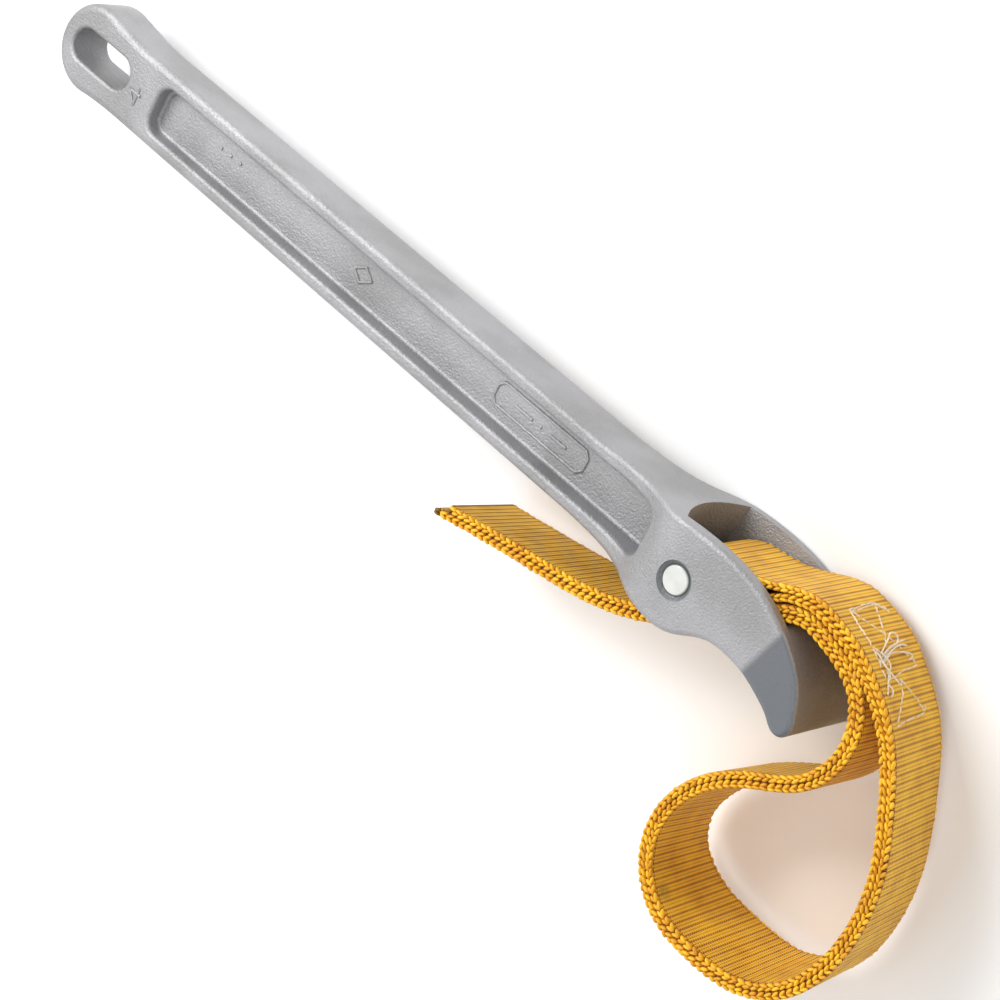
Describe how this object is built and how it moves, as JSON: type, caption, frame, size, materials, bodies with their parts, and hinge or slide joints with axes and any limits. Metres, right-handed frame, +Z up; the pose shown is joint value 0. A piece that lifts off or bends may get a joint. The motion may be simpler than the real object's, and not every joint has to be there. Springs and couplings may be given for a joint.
{
  "type": "strap wrench",
  "caption": "Strap wrench with a cast I-section handle, hanging eye and forked hook head; doubled webbing folds round a pin, loops out, passes back under the pin and ends in a pull tail.",
  "frame": {"origin": "centre of the wrench's footprint, on the surface it lies on", "axes": "+X along the handle from the hanging eye to the nose, +Z up along the pin's axis, +Y towards the handle's back"},
  "size_m": [0.3419, 0.0981, 0.0355],
  "materials": {
    "casting": "satin silver-grey coating over a sand-cast surface",
    "steel_pin": "bright plated steel",
    "webbing": "golden yellow ribbed nylon webbing",
    "thread": "off-white sewing thread"
  },
  "bodies": {
    "wrench": {"handle_casting": "casting", "anchor_pin": "steel_pin"},
    "strap_loop": {"strap_fold": "webbing", "loop_outer_ply": "webbing", "loop_inner_ply": "webbing", "box_stitching": "thread"},
    "strap_tail": {"tail_lower_ply": "webbing", "tail_upper_ply": "webbing"}
  },
  "joints": [
    {"name": "strap_swing", "type": "hinge", "parent": "wrench", "child": "strap_loop", "pos_m": [0.08353, 0.0297, 0.01775], "axis": [0, 0, 1], "range_deg": [-1, 14]},
    {"name": "tail_pull", "type": "slide", "parent": "strap_loop", "child": "strap_tail", "axis": [-0.7826, -0.6225, 0], "range_m": [0, 0.02]}
  ]
}
